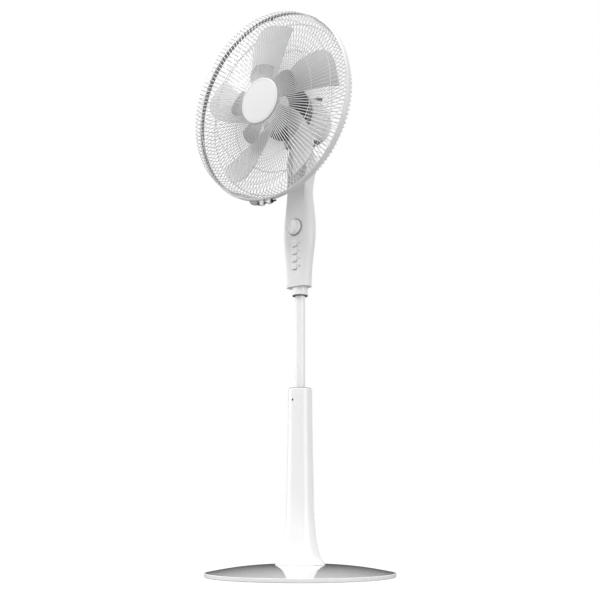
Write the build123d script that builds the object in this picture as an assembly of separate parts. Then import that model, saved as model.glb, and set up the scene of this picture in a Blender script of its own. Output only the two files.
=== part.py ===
from build123d import *
import os
from math import cos, radians, sin

# Driving dimensions in millimetres: the stand is on the Z axis and the fan blows towards -Y.
BASE_R = 200.0
FOOT_H = 1.0
FOOT_RING_R = 150.0
RIM_TOP = 9.2
DOME_TOP = 25.4
DOME_POWER = 2.7
COLUMN_FOOT_Z = 25.25
COLUMN_TOP_Z = 393.0
TUBE_R = 11.0
TUBE_WALL = 1.2
TUBE_BOTTOM_Z = 215.0
NECK_Z = 598.5
HOUSING_Z = 618.0
HOUSING_TOP_Z = 942.0
SPLIT_Y = 4.0
KNOB_Z = 753.0
KNOB_R = 17.2
BUTTON_Z = [714.4, 697.0, 679.6, 662.2]
BUTTON_W = 15.0
BUTTON_H = 13.6
AXIS_Z = 1013.0
PIVOT_Y = 5.0
TILT_Z = 944.0
RING_R = 211.5
RING_OUT_R = 217.0
RING_FRONT_Y = -109.5
RING_DEPTH = 12.5
WIRE_COUNT = 132
WIRE_R = 0.8
BADGE_R = 51.5
BADGE_FRONT_Y = -143.0
BLADES = 5
PETAL_Y = -126.0
MOTOR_R = 57.0
MOTOR_FRONT_Y = -40.0
SHAFT_R = 4.0
SHIELD_REAR_Y = 12.0
CRANK_X = 14.0
CRANK_Y = 50.0

# Running fit of a sliding or turning pair, and the room left between pieces that pass each other.
FIT = 0.05
ROOM = 0.35
WALL = 2.2

FAN_AXIS = Axis((0, 0, AXIS_Z), (0, 1, 0))
FRONT_VIEW = Plane(origin=(0, 0, AXIS_Z), x_dir=(1, 0, 0), z_dir=(0, -1, 0))


def turned(*points):
    """Solid turned about the stand's axis from an outline of (radius, height) points."""
    outline = Polyline(*[(r, 0, z) for r, z in points], close=True)
    return revolve(make_face(outline), Axis.Z)


def spun(*points):
    """Solid turned about the fan's axis from an outline of (radius, y) points."""
    outline = Polyline(*[(r, y, AXIS_Z) for r, y in points], close=True)
    return revolve(make_face(outline), FAN_AXIS)


def rod(start, end, radius):
    """Round bar between two points."""
    run = Vector(end) - Vector(start)
    return extrude(Plane(origin=start, z_dir=run.normalized()) * Circle(radius), run.length)


def block(x, y, z):
    """Box given by its lowest and highest value along each axis."""
    size = Box(x[1] - x[0], y[1] - y[0], z[1] - z[0])
    return Pos((x[0] + x[1]) / 2, (y[0] + y[1]) / 2, (z[0] + z[1]) / 2) * size


def around_stand(shape, count, start=0.0):
    """Equal copies about the stand's axis."""
    return [shape.rotate(Axis.Z, start + 360 * i / count) for i in range(count)]


def around_fan(shape, count, start=0.0):
    """Equal copies about the fan's axis."""
    return [shape.rotate(FAN_AXIS, start + 360 * i / count) for i in range(count)]


# Base: a white pan with a low rim, a domed cover, a ballast ring, feet and screws.
def dome_z(r):
    """Height of the cover's top at a radius."""
    return DOME_TOP - (DOME_TOP - RIM_TOP + 0.5) * (r / (BASE_R - 2.7)) ** DOME_POWER


SCREW_CIRCLE_R = 34.0
BASE_SCREWS = 4


def base_pan():
    floor = FOOT_H + 2
    rim_in = BASE_R - 2.4
    pan = turned((20, 9), (52, 9), (58, FOOT_H), (BASE_R - 1.2, FOOT_H), (BASE_R, FOOT_H + 1.2),
                 (BASE_R, RIM_TOP - 0.8), (BASE_R - 0.8, RIM_TOP), (rim_in, RIM_TOP), (rim_in, floor),
                 (59.5, floor), (53.5, 11), (20, 11))
    hole = rod((SCREW_CIRCLE_R, 0, 8), (SCREW_CIRCLE_R, 0, 12), 3.0)
    return pan - around_stand(hole, BASE_SCREWS, 45)


def base_cover():
    edge_r = BASE_R - 2.7
    inner_r = 44.0
    mid_r = 130.0
    skin = 2.0
    lip_r = edge_r - 2.4
    top = ThreePointArc((inner_r, 0, dome_z(inner_r)), (mid_r, 0, dome_z(mid_r)), (edge_r, 0, dome_z(edge_r)))
    edge = Polyline((edge_r, 0, dome_z(edge_r)), (edge_r, 0, FOOT_H + 2), (lip_r, 0, FOOT_H + 2),
                    (lip_r, 0, dome_z(lip_r) - skin))
    under = ThreePointArc((lip_r, 0, dome_z(lip_r) - skin), (mid_r, 0, dome_z(mid_r) - skin),
                          (inner_r, 0, dome_z(inner_r) - skin))
    inner = Line((inner_r, 0, dome_z(inner_r) - skin), (inner_r, 0, dome_z(inner_r)))
    return revolve(make_face([*top.edges(), *edge.edges(), *under.edges(), *inner.edges()]), Axis.Z)


def base_weight():
    return turned((74, FOOT_H + 2), (165, FOOT_H + 2), (165, 9), (163, 10), (74, 10))


def base_feet():
    foot = rod((FOOT_RING_R, 0, 0), (FOOT_RING_R, 0, FOOT_H), 10)
    return around_stand(foot, 6, 30)


def base_screws():
    head = rod((SCREW_CIRCLE_R, 0, 6), (SCREW_CIRCLE_R, 0, 9), 5)
    shank = rod((SCREW_CIRCLE_R, 0, 9), (SCREW_CIRCLE_R, 0, 15), 2.45)
    return around_stand(head + shank, BASE_SCREWS, 45)


# Column: a steel tube on a flange, covered by a trumpet-shaped shell with a bush at its top.
OUTER_R = 14.0
OUTER_BORE = 12.5
OUTER_TOP_Z = COLUMN_TOP_Z - 7
SCREW_Z = COLUMN_TOP_Z - 25
SCREW_R = 2.45


def outer_tube():
    tube = turned((18.5, 15), (18.5, 40), (OUTER_R, 44), (OUTER_R, OUTER_TOP_Z), (OUTER_BORE, OUTER_TOP_Z),
                  (OUTER_BORE, 15), (10, 15), (10, 11), (42, 11), (42, 15))
    hole = rod((SCREW_CIRCLE_R, 0, 10), (SCREW_CIRCLE_R, 0, 16), 2.5)
    screw_hole = rod((0, -OUTER_R - 1, SCREW_Z), (0, -OUTER_BORE + 1, SCREW_Z), SCREW_R + 0.1)
    return tube - around_stand(hole, BASE_SCREWS, 45) - screw_hole


def column_shell():
    z0 = COLUMN_FOOT_Z
    top = COLUMN_TOP_Z
    lip = Polyline((41.5, 0, 18), (43.7, 0, 18), (43.7, 0, z0), (52.5, 0, z0), (52.5, 0, z0 + 1))
    outside = Spline((52.5, 0, z0 + 1), (43.0, 0, 41), (35.5, 0, 74), (30.5, 0, 118), (28.6, 0, 190),
                     (27.2, 0, 262), (26, 0, top - 1.6))
    mouth = Polyline((26, 0, top - 1.6), (25.2, 0, top - 0.3), (24.6, 0, top), (23.8, 0, top - 1))
    inside = Spline((23.8, 0, top - 1), (25.0, 0, 262), (26.4, 0, 190), (28.3, 0, 118), (33.2, 0, 74),
                    (38.2, 0, 50), (41.5, 0, 40))
    skirt = Line((41.5, 0, 40), (41.5, 0, 18))
    edges = [*lip.edges(), *outside.edges(), *mouth.edges(), *inside.edges(), *skirt.edges()]
    shell = revolve(make_face(edges), Axis.Z)
    return shell - rod((0, -30, SCREW_Z), (0, -20, SCREW_Z), SCREW_R + 0.1)


def column_bush():
    top = COLUMN_TOP_Z + 1.0
    seat = COLUMN_TOP_Z + 0.1
    low = SCREW_Z - 6
    bore = TUBE_R + FIT + 0.01
    over = OUTER_R + FIT
    bush = turned((bore, OUTER_TOP_Z), (bore, top - 0.6), (bore + 0.6, top), (24.2, top), (24.6, top - 0.4),
                  (24.6, seat), (23.7, seat), (23.7, low), (over, low), (over, OUTER_TOP_Z))
    return bush - rod((0, -30, SCREW_Z), (0, -10, SCREW_Z), SCREW_R + 0.1)


def height_screw():
    screw = rod((0, -25.6, SCREW_Z), (0, -TUBE_R - 0.15, SCREW_Z), SCREW_R)
    key = Plane(origin=(0, -25.6, SCREW_Z), z_dir=(0, 1, 0)) * RegularPolygon(1.5, 6)
    return screw - extrude(key, 3)


# Stem: the sliding tube, its slider, and the neck that carries the control housing.
def inner_tube():
    bore = TUBE_R - TUBE_WALL
    top = HOUSING_Z + 24
    return turned((bore, TUBE_BOTTOM_Z), (TUBE_R, TUBE_BOTTOM_Z), (TUBE_R, top), (bore, top))


def tube_slider():
    out = OUTER_BORE - FIT
    seat = TUBE_R + 0.02
    low = TUBE_BOTTOM_Z - 10
    high = TUBE_BOTTOM_Z + 17
    return turned((9, low), (out - 1, low), (out, low + 2), (out, high), (seat, high), (seat, TUBE_BOTTOM_Z),
                  (9, TUBE_BOTTOM_Z))


COLLAR_Z = NECK_Z + 1.2
COLLAR_R = 17.1


def neck_ring():
    seat = TUBE_R + 0.02
    return turned((seat, NECK_Z), (16.9, NECK_Z), (17.4, NECK_Z + 0.5), (17.4, COLLAR_Z), (seat, COLLAR_Z))


def neck_collar():
    seat = TUBE_R + 0.02
    inside = HOUSING_Z + 2.6
    top = HOUSING_Z + 26
    return turned((seat, COLLAR_Z), (COLLAR_R - 0.3, COLLAR_Z), (COLLAR_R, COLLAR_Z + 0.8),
                  (COLLAR_R, inside + 4), (14, inside + 6), (14, top), (seat, top))


# Control housing: each section is a flat front, two swelling sides and a bowed back.
# Values: height, half width and depth of the front, half width at the side, half width and depth of the back.
HOUSING_SECTIONS = [
    (HOUSING_Z, 16.4, 20.0, 30.4, 15.5, 14.0),
    (650.0, 17.0, 20.0, 31.1, 17.4, 14.2),
    (695.0, 22.0, 19.2, 36.1, 20.7, 15.6),
    (745.0, 26.0, 18.2, 40.3, 22.0, 17.0),
    (790.0, 25.5, 17.0, 37.3, 21.0, 17.0),
    (830.0, 24.5, 15.5, 31.9, 22.0, 17.0),
    (HOUSING_TOP_Z, 17.5, 12.0, 27.2, 16.5, 17.5),
]
SIDE_Y = -2.0
BACK_BOW = 5.0
GLAND_Z = 656.0
HOUSING_SCREWS = [(-15.0, 655.0), (15.0, 655.0), (-14.0, 880.0), (14.0, 880.0)]


def housing_section(values, inset, height):
    _, front_x, depth, side_x, back_x, back_y = values
    narrow = front_x - inset * 0.6
    front = Line((-narrow, -depth + inset, height), (narrow, -depth + inset, height))
    right = ThreePointArc(front @ 1, (side_x - inset, SIDE_Y, height), (back_x - inset * 0.8, back_y, height))
    bow = (0, back_y + BACK_BOW - inset, height)
    back = ThreePointArc(right @ 1, bow, (-back_x + inset * 0.8, back_y, height))
    left = ThreePointArc(back @ 1, (-side_x + inset, SIDE_Y, height), front @ 0)
    return make_face([front.edge(), right.edge(), back.edge(), left.edge()])


def housing_solid(inset, end_inset):
    faces = []
    for values in HOUSING_SECTIONS:
        height = min(max(values[0], HOUSING_Z + end_inset), HOUSING_TOP_Z - end_inset)
        faces.append(housing_section(values, inset, height))
    return loft(faces)


def button_hole(z, room):
    face = Plane(origin=(0, -10, z), x_dir=(1, 0, 0), z_dir=(0, -1, 0)) * RectangleRounded(
        BUTTON_W + 2 * room, BUTTON_H + 2 * room, 5.5)
    return extrude(face, 20)


def housing_shells():
    """Front and rear half of the control housing, parted at a plane across its depth."""
    outside = housing_solid(0, 0)
    shell = outside - housing_solid(WALL, 2.5)
    shell -= rod((0, 0, HOUSING_Z - 1), (0, 0, HOUSING_Z + 8), COLLAR_R + 0.1)
    shell -= block((-19, 19), (-8, 18), (HOUSING_TOP_Z - 6, HOUSING_TOP_Z + 1))
    front = shell & block((-60, 60), (-60, SPLIT_Y), (600, 960))
    rear = shell & block((-60, 60), (SPLIT_Y + 0.1, 60), (600, 960))
    front -= rod((0, -30, KNOB_Z), (0, -10, KNOB_Z), 5)
    for z in BUTTON_Z:
        front -= button_hole(z, ROOM)
    front -= timer_bezel()
    for x, z in HOUSING_SCREWS:
        front += rod((x, -25, z), (x, SPLIT_Y, z), 4) & outside
        front -= rod((x, -9, z), (x, SPLIT_Y, z), 1.55)
        rear += rod((x, SPLIT_Y + 0.1, z), (x, 25, z), 5) & outside
        rear -= rod((x, SPLIT_Y, z), (x, 40, z), 1.7)
        rear -= rod((x, 12, z), (x, 40, z), 3.7)
    rear -= rod((0, 10, GLAND_Z), (0, 40, GLAND_Z), 5.5)
    return front, rear


def housing_screws():
    screws = []
    for x, z in HOUSING_SCREWS:
        screws.append(rod((x, -8, z), (x, 12, z), 1.5) + rod((x, 12, z), (x, 14.4, z), 3.4))
    return screws


def cord_gland():
    bore = 3.4
    body = rod((0, 12, GLAND_Z), (0, 22, GLAND_Z), 5.4) + rod((0, 19.6, GLAND_Z), (0, 24, GLAND_Z), 7)
    body += rod((0, 12, GLAND_Z), (0, 15, GLAND_Z), 6.6)
    return body - rod((0, 10, GLAND_Z), (0, 26, GLAND_Z), bore)


def front_y(z):
    """Place of the housing's front face at a height, between the nearest two sections."""
    for low, high in zip(HOUSING_SECTIONS, HOUSING_SECTIONS[1:]):
        if low[0] <= z <= high[0]:
            share = (z - low[0]) / (high[0] - low[0])
            return -(low[2] + share * (high[2] - low[2]))


# Controls: a timer knob with a raised ridge in a bezel, and four buttons on a switch block.
TIMER_FRONT_Y = -14.5
BUTTON_TRAVEL = 3.0
SWITCH_FRONT_Y = -9.0


def timer_bezel():
    face = front_y(KNOB_Z) - 0.3
    band = Circle(KNOB_R + 2.6) - Circle(KNOB_R + 0.6)
    ring = Plane(origin=(0, face + 1.2, KNOB_Z), z_dir=(0, -1, 0)) * band
    return chamfer(extrude(ring, 2.2).faces().sort_by(Axis.Y)[0].edges(), 0.6)


def lens(half, reach):
    """Pointed oval, given by half its width and half its length."""
    right = ThreePointArc((0, -reach), (half, 0), (0, reach))
    left = ThreePointArc((0, reach), (-half, 0), (0, -reach))
    return make_face([right.edge(), left.edge()])


def timer_knob():
    face = front_y(KNOB_Z) - 0.9
    plane = Plane(origin=(0, face, KNOB_Z), x_dir=(1, 0, 0), z_dir=(0, -1, 0))
    disc = extrude(plane * Circle(KNOB_R), 4.5)
    disc = fillet(disc.faces().sort_by(Axis.Y)[0].edges(), 1.5)
    reach = KNOB_R - 1.6
    fin = loft([plane.offset(3.5) * lens(11.0, reach), plane.offset(10.5) * lens(1.2, reach - 2.4)])
    stem = rod((0, face, KNOB_Z), (0, TIMER_FRONT_Y + 0.4, KNOB_Z), 4)
    return disc + fin + stem


def timer_body():
    return fillet(block((-17, 17), (TIMER_FRONT_Y + 0.9, SPLIT_Y - 1), (KNOB_Z - 17, KNOB_Z + 17)).edges()
                  .filter_by(Axis.Y), 4)


def button(z):
    face = front_y(z)
    plane = Plane(origin=(0, face + 4, z), x_dir=(1, 0, 0), z_dir=(0, -1, 0))
    cap = extrude(plane * RectangleRounded(BUTTON_W, BUTTON_H, 5.2), 7.5)
    cap = fillet(cap.faces().sort_by(Axis.Y)[0].edges(), 1.4)
    stem = block((-3, 3), (face + 4, SWITCH_FRONT_Y - BUTTON_TRAVEL - ROOM), (z - 3, z + 3))
    return cap + stem


def switch_block():
    low, high = min(BUTTON_Z), max(BUTTON_Z)
    body = block((-9, 9), (SWITCH_FRONT_Y, SPLIT_Y - 1), (low - 8, high + 8))
    return fillet(body.edges().filter_by(Axis.X), 1.5)


# Tilt joint: a fork in the housing's top, a pin, and the bracket that nods on it.
EAR_IN = 10.0
EAR_OUT = 15.0
EAR_R = 9.0
PIN_R = 3.0


def neck_fork():
    low = HOUSING_TOP_Z - 6.5
    fork = block((-22, 22), (-3, 12), (low - 4, low)) + block((-EAR_OUT, EAR_OUT), (-3, 12), (low - 8, low))
    for side in (-1, 1):
        inner, outer = sorted((side * EAR_IN, side * EAR_OUT))
        fork += block((inner, outer), (PIVOT_Y - EAR_R, PIVOT_Y + EAR_R - 2), (low - 4, TILT_Z))
        fork += rod((inner, PIVOT_Y, TILT_Z), (outer, PIVOT_Y, TILT_Z), EAR_R)
    return fork - rod((-30, PIVOT_Y, TILT_Z), (30, PIVOT_Y, TILT_Z), PIN_R + 0.02)


def tilt_pin():
    pin = rod((-18.5, PIVOT_Y, TILT_Z), (EAR_OUT + 0.2, PIVOT_Y, TILT_Z), PIN_R)
    pin += rod((EAR_OUT + 0.2, PIVOT_Y, TILT_Z), (EAR_OUT + 3, PIVOT_Y, TILT_Z), 5.5)
    nut = Plane(origin=(-EAR_OUT - 0.2, PIVOT_Y, TILT_Z), z_dir=(-1, 0, 0)) * RegularPolygon(5.6, 6)
    nut = extrude(nut, 2.8) - rod((-20, PIVOT_Y, TILT_Z), (-10, PIVOT_Y, TILT_Z), PIN_R + 0.02)
    return [pin, nut]


PLATE_Z = TILT_Z + EAR_R + 0.5
POST_R = 8.0
POST_TOP_Z = 969.5
LUG_Y = 25.0
LINK_Z = 975.5
LINK_T = 3.0
LINK_PIN_R = 2.5
LINK_EYE_R = 4.0


def tilt_bracket():
    half = EAR_IN - ROOM
    lug = rod((-half, PIVOT_Y, TILT_Z), (half, PIVOT_Y, TILT_Z), EAR_R - 0.6)
    lug += block((-half, half), (PIVOT_Y - 7, PIVOT_Y + 7), (TILT_Z, PLATE_Z))
    plate = rod((0, PIVOT_Y, PLATE_Z), (0, PIVOT_Y, PLATE_Z + 3.5), 16)
    arm = block((-5, 5), (PIVOT_Y, LUG_Y), (PLATE_Z, PLATE_Z + 3.5))
    arm += rod((0, LUG_Y, PLATE_Z), (0, LUG_Y, PLATE_Z + 3.5), 5)
    arm += rod((0, LUG_Y, PLATE_Z), (0, LUG_Y, LINK_Z - ROOM), 3.6)
    arm += rod((0, LUG_Y, PLATE_Z), (0, LUG_Y, LINK_Z + LINK_T + 0.8), LINK_PIN_R)
    body = lug + plate + arm
    body -= rod((-30, PIVOT_Y, TILT_Z), (30, PIVOT_Y, TILT_Z), PIN_R + FIT)
    return body - rod((0, PIVOT_Y, PLATE_Z - 1), (0, PIVOT_Y, PLATE_Z + 9), POST_R + 0.01)


def swivel_post():
    post = rod((0, PIVOT_Y, PLATE_Z - 1), (0, PIVOT_Y, POST_TOP_Z), POST_R)
    return chamfer(post.faces().sort_by(Axis.Z)[-1].edges(), 1)


# Oscillation drive: the worm on the shaft turns a wheel with a crank, and a link runs to the bracket's lug.
CRANK_THROW = 6.0
CRANK_TOP_Z = 985.0
WHEEL_TEETH = 20
WHEEL_R = 8.6
GEARBOX_X = (-13.0, 27.0)
GEARBOX_Y = (34.0, 64.0)
GEARBOX_Z = (988.0, 1034.0)


def swing_link():
    end = (CRANK_X - CRANK_THROW, CRANK_Y)
    run = Vector(end[0], end[1] - LUG_Y)
    middle = Plane(origin=(end[0] / 2, (end[1] + LUG_Y) / 2, LINK_Z), x_dir=run.normalized(), z_dir=(0, 0, 1))
    link = extrude(middle * Rectangle(run.length, 6), LINK_T)
    for x, y in ((0, LUG_Y), end):
        link += rod((x, y, LINK_Z), (x, y, LINK_Z + LINK_T), LINK_EYE_R)
    link -= rod((0, LUG_Y, LINK_Z - 1), (0, LUG_Y, LINK_Z + 9), LINK_PIN_R + FIT)
    return link - rod((*end, LINK_Z - 1), (*end, LINK_Z + 9), 2.2)


def oscillation_crank():
    z_low = LINK_Z + LINK_T + 2.0
    spindle = rod((CRANK_X, CRANK_Y, z_low), (CRANK_X, CRANK_Y, AXIS_Z + 9), 3)
    disc = rod((CRANK_X, CRANK_Y, z_low), (CRANK_X, CRANK_Y, CRANK_TOP_Z), 9.5)
    pin = rod((CRANK_X - CRANK_THROW, CRANK_Y, z_low - 1.4), (CRANK_X - CRANK_THROW, CRANK_Y, z_low + 1), 2)
    wheel = rod((CRANK_X, CRANK_Y, AXIS_Z - 5), (CRANK_X, CRANK_Y, AXIS_Z + 5), WHEEL_R)
    gap = block((CRANK_X + WHEEL_R - 1.2, CRANK_X + WHEEL_R + 1), (CRANK_Y - 0.6, CRANK_Y + 0.6),
                (AXIS_Z - 6, AXIS_Z + 6))
    spindle_axis = Axis((CRANK_X, CRANK_Y, 0), (0, 0, 1))
    wheel -= [gap.rotate(spindle_axis, 360 * i / WHEEL_TEETH) for i in range(WHEEL_TEETH)]
    return spindle + disc + pin + wheel


def gearbox_case():
    outer = fillet(block(GEARBOX_X, GEARBOX_Y, GEARBOX_Z).edges().filter_by(Axis.Z), 5)
    inner = block((GEARBOX_X[0] + 2.5, GEARBOX_X[1] - 2.5), (GEARBOX_Y[0] + 2.5, GEARBOX_Y[1] - 2.5),
                  (GEARBOX_Z[0] + 2.5, GEARBOX_Z[1] - 2.5))
    case = outer - inner
    for x in (GEARBOX_X[0] + 6, GEARBOX_X[1] - 6):
        for z in (GEARBOX_Z[0] + 6, GEARBOX_Z[1] - 6):
            case += rod((x, SHIELD_REAR_Y + 4, z), (x, GEARBOX_Y[0] + 1, z), 3)
    case -= rod((0, 30, AXIS_Z), (0, 50, AXIS_Z), SHAFT_R + 1.5)
    return case - rod((CRANK_X, CRANK_Y, 980), (CRANK_X, CRANK_Y, 1040), 3 + ROOM)


def clutch_knob():
    foot = AXIS_Z + 10
    top = AXIS_Z + 65.5
    low = top - 4.5
    stem = rod((CRANK_X, CRANK_Y, foot), (CRANK_X, CRANK_Y, low + 1), 2.6)
    knob = rod((CRANK_X, CRANK_Y, low), (CRANK_X, CRANK_Y, top), 10)
    return stem + fillet(knob.faces().sort_by(Axis.Z)[-1].edges(), 1.2)


# Motor: a stator between two end shields on a bracket that swings on the post, all in a two-part pod.
SHIELD_FRONT_Y = -36.0
SHIELD_T = 4.0
SHIELD_R = 39.0
STATOR_Y = (-24.0, 4.0)
STATOR_R = 34.0
ROTOR_R = 20.0
BUSH_R = 12.5
BRACKET_Z = 967.0
BEARING_R = 8.0
SCREW_R_MOTOR = 2.0
SCREW_RING_R = 36.6
CHIN_Z = 935.0


def motor_bracket():
    plate = block((-16, 16), (SHIELD_FRONT_Y, SHIELD_REAR_Y + SHIELD_T), (BRACKET_Z, BRACKET_Z + 3))
    sleeve = rod((0, PIVOT_Y, PLATE_Z + 4.5), (0, PIVOT_Y, BRACKET_Z + 3), 16)
    return plate + sleeve - rod((0, PIVOT_Y, 900), (0, PIVOT_Y, 1000), BUSH_R)


def swivel_bush():
    face = Plane(origin=(0, PIVOT_Y, PLATE_Z + 4.5)) * (Circle(BUSH_R - 0.01) - Circle(POST_R + FIT))
    return extrude(face, BRACKET_Z + 3 - PLATE_Z - 4.5)


def motor_shield(y, boss_y):
    """Die-cast end plate with a boss for the bearing and a foot on the bracket."""
    plate = rod((0, y, AXIS_Z), (0, y + SHIELD_T, AXIS_Z), SHIELD_R)
    boss = rod((0, min(y, boss_y), AXIS_Z), (0, max(y + SHIELD_T, boss_y), AXIS_Z), 12)
    foot = block((-10, 10), (y, y + SHIELD_T), (BRACKET_Z + 3, AXIS_Z - SHIELD_R + 12))
    shield = plate + boss + foot - rod((0, -90, AXIS_Z), (0, 60, AXIS_Z), BEARING_R + 0.01)
    hole = rod((SCREW_RING_R, y - 1, AXIS_Z), (SCREW_RING_R, y + SHIELD_T + 1, AXIS_Z), SCREW_R_MOTOR + 0.1)
    return shield - around_fan(hole, 4, 45)


def motor_bearings():
    bearings = []
    for y in (SHIELD_FRONT_Y - 2, SHIELD_REAR_Y - 3):
        face = Plane(origin=(0, y, AXIS_Z), z_dir=(0, 1, 0)) * (Circle(BEARING_R) - Circle(SHAFT_R + FIT))
        bearings.append(extrude(face, 9))
    return bearings


def motor_screws():
    rear = SHIELD_REAR_Y + SHIELD_T
    screw = rod((SCREW_RING_R, SHIELD_FRONT_Y, AXIS_Z), (SCREW_RING_R, rear, AXIS_Z), SCREW_R_MOTOR)
    head = rod((SCREW_RING_R, rear, AXIS_Z), (SCREW_RING_R, rear + 3, AXIS_Z), 3.6)
    return around_fan(screw + head, 4, 45)


def motor_stator():
    return spun((ROTOR_R + 0.4, STATOR_Y[0]), (STATOR_R, STATOR_Y[0]), (STATOR_R, STATOR_Y[1]),
                (ROTOR_R + 0.4, STATOR_Y[1]))


def motor_windings():
    coils = []
    for y, way in ((STATOR_Y[0], -1), (STATOR_Y[1], 1)):
        side = y + way * 4
        end = y + way * 6.5
        coils.append(spun((ROTOR_R + 2, y), (STATOR_R - 3, y), (STATOR_R - 3, side), (STATOR_R - 6, end),
                          (ROTOR_R + 4, end), (ROTOR_R + 2, side)))
    return coils


def motor_front_cover():
    """Dished cover with a threaded spigot for the grille nut and a chin in front of the tilt joint."""
    y = MOTOR_FRONT_Y
    r = MOTOR_R
    cover = spun((6, y - 12), (21, y - 12), (22, y - 11), (22, y), (r - 4, y), (r - 1.2, y + 1.2), (r, y + 4),
                 (r, y + 14), (r - WALL, y + 14), (r - WALL, y + 5), (r - 4, y + 2.5), (14, y + 2.5),
                 (14, y - 9.5), (6, y - 9.5))
    chin = fillet(block((-18, 18), (y + 6, y + 13), (CHIN_Z, AXIS_Z - r + 6)).edges().filter_by(Axis.Y), 4)
    return cover + (chin - rod((0, y, AXIS_Z), (0, y + 20, AXIS_Z), r - WALL / 2))


def pod_solid(r, y0, y1, long_r):
    """Round body with a straight front part and an elliptical rear end, flat at its middle."""
    turns = [radians(a) for a in (0, 20, 40, 60, 75, 86)]
    rear = Spline(*[(r * cos(a), y1 + long_r * sin(a), AXIS_Z) for a in turns])
    end = rear @ 1
    edge = Polyline(end, (0, end.Y, AXIS_Z), (0, y0, AXIS_Z), (r, y0, AXIS_Z), (r, y1, AXIS_Z))
    return revolve(make_face([*edge.edges(), rear.edge()]), FAN_AXIS)


def motor_rear_cover():
    r = MOTOR_R
    y0 = MOTOR_FRONT_Y + 14.1
    y1 = 22.0
    long_r = 62.0
    pod = pod_solid(r, y0, y1, long_r) - pod_solid(r - WALL, y0, y1, long_r - WALL)
    pod -= rod((0, PIVOT_Y, AXIS_Z - r - 5), (0, PIVOT_Y, AXIS_Z - 35), 30)
    pod -= block((-20, 28), (PIVOT_Y, 50), (AXIS_Z - r - 5, AXIS_Z - 35))
    pod -= rod((CRANK_X, CRANK_Y, AXIS_Z + 30), (CRANK_X, CRANK_Y, AXIS_Z + 70), 2.6 + ROOM)
    for x in (-24.5, -17.5, -10.5, -3.5, 3.5, 10.5, 17.5, 24.5):
        height = 26 - abs(x) * 0.45
        pod -= block((x - 1.3, x + 1.3), (66, 90), (AXIS_Z - height, AXIS_Z + height))
    return pod


# Rotor: the shaft with its worm, the rotor core, a cross pin, and the blades with their nut.
PIN_Y = -81.0
SHAFT_FRONT_Y = -127.0
HUB_FRONT_Y = -112.0
HUB_R = 33.0


def motor_shaft():
    shaft = rod((0, SHAFT_FRONT_Y, AXIS_Z), (0, 60, AXIS_Z), SHAFT_R)
    worm = rod((0, CRANK_Y - 9, AXIS_Z), (0, CRANK_Y + 8, AXIS_Z), CRANK_X - WHEEL_R - 0.4)
    body = shaft + worm
    return body - rod((-9, PIN_Y, AXIS_Z), (9, PIN_Y, AXIS_Z), 1.51)


def drive_pin():
    return rod((-9, PIN_Y, AXIS_Z), (9, PIN_Y, AXIS_Z), 1.5)


def motor_rotor():
    return spun((SHAFT_R + 0.01, STATOR_Y[0]), (ROTOR_R, STATOR_Y[0]), (ROTOR_R, STATOR_Y[1]),
                (SHAFT_R + 0.01, STATOR_Y[1]))


def blade(outline, sections, bow, thickness):
    """One blade pointing up: a bowed, twisting sheet cut to its outline in the front view.

    Each section has its radius, the place of its middle along the axis, and its pitch in degrees.
    """
    half = 85.0
    faces = []
    for r, y, pitch in sections:
        angle = radians(pitch)
        plane = Plane(origin=(0, y - bow, AXIS_Z + r), x_dir=(cos(angle), sin(angle), 0), z_dir=(0, 0, 1))
        front = ThreePointArc((-half, 0), (0, bow), (half, 0))
        right = Line((half, 0), (half, thickness))
        rear = ThreePointArc((half, thickness), (0, bow + thickness), (-half, thickness))
        left = Line((-half, thickness), (-half, 0))
        faces.append(plane * make_face([front.edge(), right.edge(), rear.edge(), left.edge()]))
    return loft(faces) & extrude(FRONT_VIEW * outline, 260, both=True)


def impeller():
    lead = Spline((-14, 30), (8, 80), (22, 111), (37, 143), (54, 170))
    corner = ThreePointArc((54, 170), (53.4, 174.2), (50, 176))
    end = Spline((50, 176), (30, 183), (5, 188), (-12, 187))
    trail = Spline((-12, 187), (-26, 178), (-37, 165), (-44, 145), (-47, 120), (-47, 98), (-44.6, 78),
                   (-38, 55), (-26, 30))
    root = Polyline((-26, 30), (-20, 10), (-10, 10), (-14, 30))
    outline = make_face([lead.edge(), corner.edge(), end.edge(), trail.edge(), *root.edges()])
    sections = [(5, -88, 26), (60, -91, 23), (105, -98.5, 21.5), (150, -105.5, 14), (200, -112, 7.5)]
    one = blade(outline, sections, -14, 2.0)
    bore = SHAFT_R + 0.03
    front = HUB_FRONT_Y
    rear = PIN_Y + 4
    hub = spun((bore, front), (HUB_R - 3, front), (HUB_R, front + 4), (HUB_R, rear - 3), (HUB_R - 3, rear),
               (HUB_R - 5, rear), (HUB_R - 5, rear - 7), (14, rear - 7), (14, rear), (bore, rear))
    body = hub.fuse(*around_fan(one, BLADES))
    return body - block((-9.3, 9.3), (PIN_Y - 1.8, rear + 7), (AXIS_Z - 1.8, AXIS_Z + 1.8))


def inner_impeller():
    lead = Line((5, 26), (24, 77))
    corner = ThreePointArc((24, 77), (24.9, 79.2), (23.5, 81))
    end = Spline((23.5, 81), (5, 90), (-16, 93.5))
    trail = Spline((-16, 93.5), (-29, 87), (-35, 75), (-35, 58), (-24, 30))
    root = Polyline((-24, 30), (-14, 12), (0, 12), (5, 26))
    outline = make_face([lead.edge(), corner.edge(), end.edge(), trail.edge(), *root.edges()])
    one = blade(outline, [(5, PETAL_Y, 11), (60, PETAL_Y, 11), (120, PETAL_Y, 11)], -2, 1.8)
    bore = SHAFT_R + 0.03
    front = SHAFT_FRONT_Y - 2
    rear = HUB_FRONT_Y - 0.1
    hub = spun((bore, front), (HUB_R - 6, front), (HUB_R, front + 4), (HUB_R, rear), (bore, rear))
    return hub.fuse(*around_fan(one, BLADES))


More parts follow.
